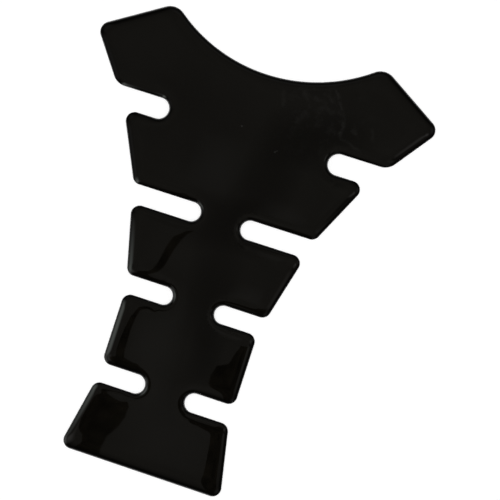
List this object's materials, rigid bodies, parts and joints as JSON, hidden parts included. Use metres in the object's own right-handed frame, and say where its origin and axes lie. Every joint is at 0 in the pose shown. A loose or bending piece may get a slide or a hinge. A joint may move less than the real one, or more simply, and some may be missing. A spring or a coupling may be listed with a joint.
{
  "type": "motorcycle tank pad",
  "caption": "Stick-on motorcycle tank pad in glossy black domed resin: wings round a filler cap notch, and a spine with paired fins and relief slots that let it bend over the tank.",
  "frame": {"origin": "centre of the pad's box, on the flat adhesive back", "axes": "+Y along the pad from its tail to the filler cap notch, +Z out of the tank, +X across the pad to the right wing seen from above with the wings up"},
  "size_m": [0.1696, 0.2196, 0.002],
  "materials": {
    "domed_resin": "black film under a clear, high-gloss cast resin dome"
  },
  "bodies": {
    "root": {"tank_pad": "domed_resin"}
  },
  "joints": []
}
